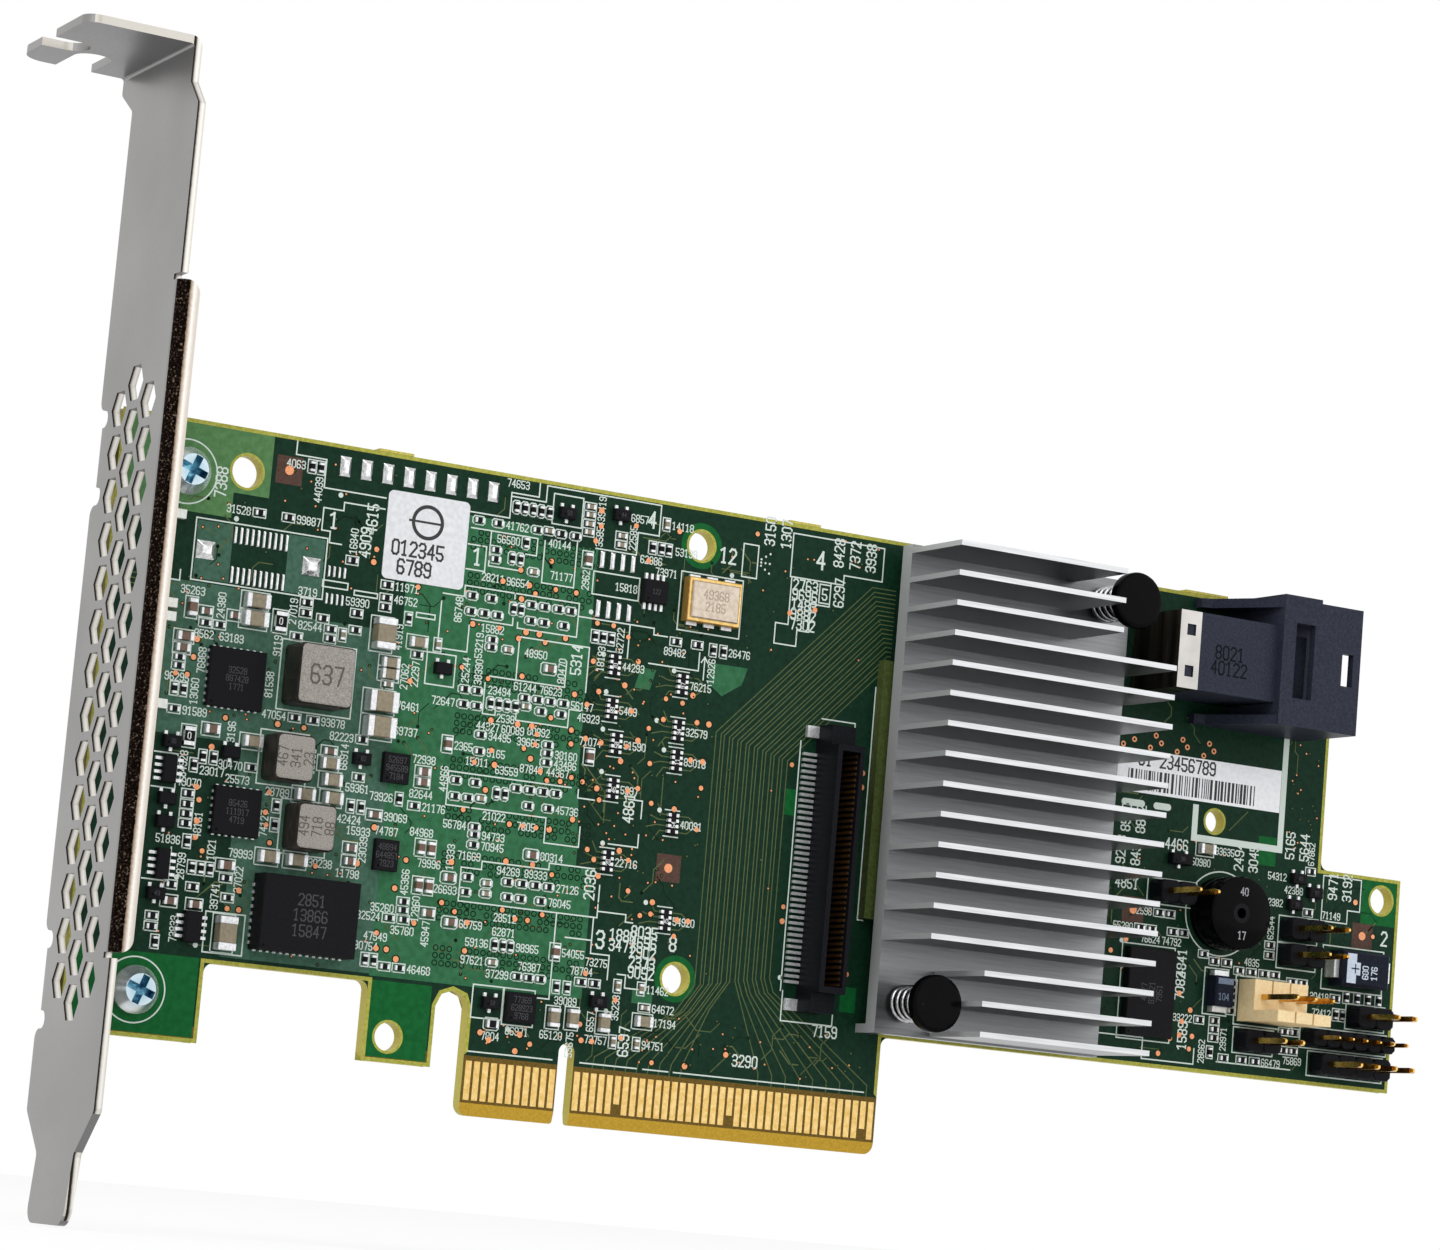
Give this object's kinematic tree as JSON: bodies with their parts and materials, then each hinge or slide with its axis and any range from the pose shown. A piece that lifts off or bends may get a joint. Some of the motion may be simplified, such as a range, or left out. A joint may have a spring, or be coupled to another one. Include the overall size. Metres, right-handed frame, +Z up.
{
  "type": "raid controller card",
  "caption": "Storage controller card: low-profile board with edge contacts, finned heatsink, internal drive port, pin headers and a vented full-height bracket.",
  "frame": {"origin": "centre of the key notch at the bottom edge of the contact tongue, half way through the board's thickness", "axes": "+X along the board away from the bracket, +Z up from the contact tongue, -Y is the component side, as the card stands in its slot"},
  "size_m": [0.1808, 0.022, 0.1201],
  "materials": {
    "board": "satin green solder mask over glass laminate",
    "gold": "polished gold plating",
    "nickel": "satin nickel plate",
    "zinc_screws": "bright zinc plate",
    "aluminium": "extruded, raw",
    "black_gloss": "glossy",
    "spring_steel": "bright nickel plate",
    "package_laminate": "satin laminate",
    "chip_black": "fine moulded grain",
    "thermal_pad": "soft grey pad",
    "connector_black": "moulded, fine grain",
    "tin": "bright tin",
    "ferrite": "speckled pressed powder",
    "ceramic_gold": "ceramic with a gold rim",
    "lid_metal": "satin lid",
    "tantalum_black": "moulded",
    "cream_plastic": "natural nylon",
    "capacitor_tan": "fired ceramic with tinned ends",
    "resistor_black": "glazed with tinned ends",
    "lamp_white": "clear lens on white",
    "label_paper": "satin white"
  },
  "bodies": {
    "root": {"circuit_board": "board", "edge_contacts": "gold", "mounting_bracket": "nickel", "bracket_screws": "zinc_screws", "heatsink": "aluminium", "heatsink_push_pins": "black_gloss", "heatsink_springs": "spring_steel", "controller_substrate": "package_laminate", "controller_die": "chip_black", "thermal_pad": "thermal_pad", "sas_connector_shroud": "connector_black", "sas_connector_core": "connector_black", "sas_connector_shield": "tin", "sas_connector_contacts": "gold", "flash_connector_housing": "connector_black", "flash_connector_contacts": "gold", "flash_connector_leads": "tin", "flash_connector_hold_downs": "tin", "buzzer": "chip_black", "power_inductor_large": "ferrite", "power_inductors_small": "ferrite", "power_module": "chip_black", "quad_flat_chips": "chip_black", "small_outline_chips": "chip_black", "transistors": "chip_black", "memory_chip": "chip_black", "chip_pads": "tin", "chip_leads": "tin", "oscillator_base": "ceramic_gold", "oscillator_lid": "lid_metal", "tantalum_capacitor": "tantalum_black", "tantalum_terminals": "tin", "polar_capacitor": "tantalum_black", "polar_capacitor_terminals": "tin", "header_bases": "connector_black", "header_pins": "gold", "locking_connector": "cream_plastic", "locking_connector_pins": "gold", "large_capacitors": "capacitor_tan", "medium_capacitors": "capacitor_tan", "small_capacitors": "capacitor_tan", "small_resistors": "resistor_black", "marked_resistors": "resistor_black", "resistor_arrays": "resistor_black", "indicator_lamps": "lamp_white", "bare_pads": "tin", "round_corner_label": "label_paper", "strip_label": "label_paper"}
  },
  "joints": []
}
